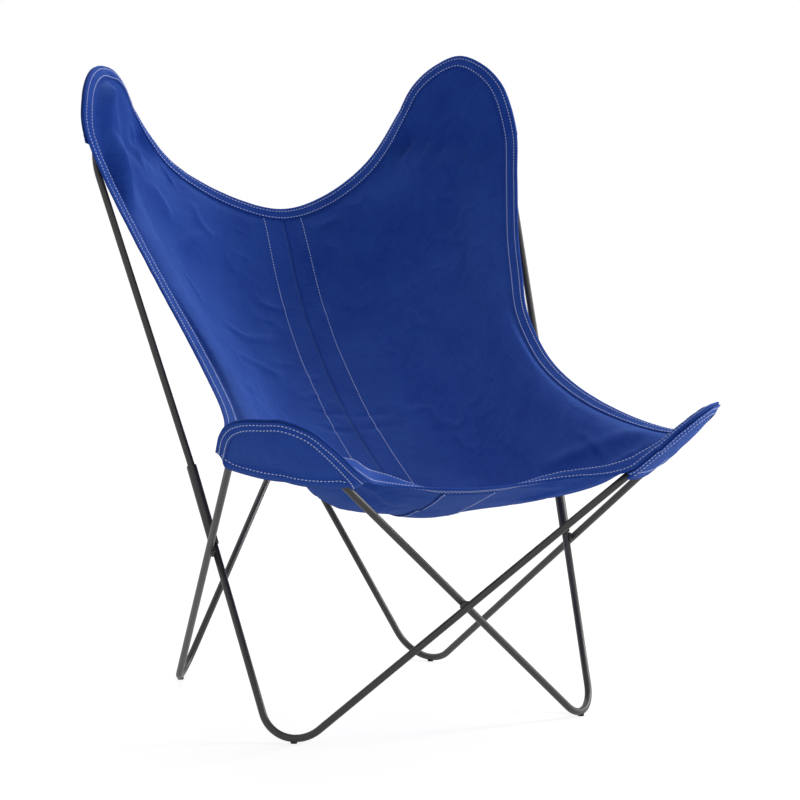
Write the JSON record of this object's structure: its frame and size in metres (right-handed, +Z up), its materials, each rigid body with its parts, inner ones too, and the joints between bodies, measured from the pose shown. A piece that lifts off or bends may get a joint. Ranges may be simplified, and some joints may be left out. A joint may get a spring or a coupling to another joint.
{
  "type": "butterfly sling chair",
  "caption": "Butterfly sling chair: a bent black steel rod frame with welded crossings and tube sleeves carries a blue canvas sling on corner pockets.",
  "frame": {"origin": "On the floor, midway between the outermost sides and midway between the front and back extremes of the chair.", "axes": "+Z up, the sitter faces -Y, +X to the right as seen from the front."},
  "size_m": [0.6924, 0.8332, 0.9088],
  "materials": {
    "frame_steel": "satin black powder coat",
    "canvas": "blue cotton canvas, matte plain weave",
    "glide_plastic": "matte black moulded plastic"
  },
  "bodies": {
    "root": {"front_left_base_rod": "frame_steel", "front_right_base_rod": "frame_steel", "left_back_upright": "frame_steel", "right_back_upright": "frame_steel", "left_side_sleeve": "frame_steel", "right_side_sleeve": "frame_steel", "left_back_sleeve": "frame_steel", "right_back_sleeve": "frame_steel", "front_weld": "frame_steel", "back_weld": "frame_steel", "left_side_weld": "frame_steel", "right_side_weld": "frame_steel", "front_left_glide": "glide_plastic", "front_right_glide": "glide_plastic", "back_left_glide": "glide_plastic", "back_right_glide": "glide_plastic", "left_panel": "canvas", "right_panel": "canvas", "centre_strip": "canvas", "edge_binding": "canvas", "front_left_pocket": "canvas", "front_right_pocket": "canvas", "back_left_pocket": "canvas", "back_right_pocket": "canvas"}
  },
  "joints": []
}
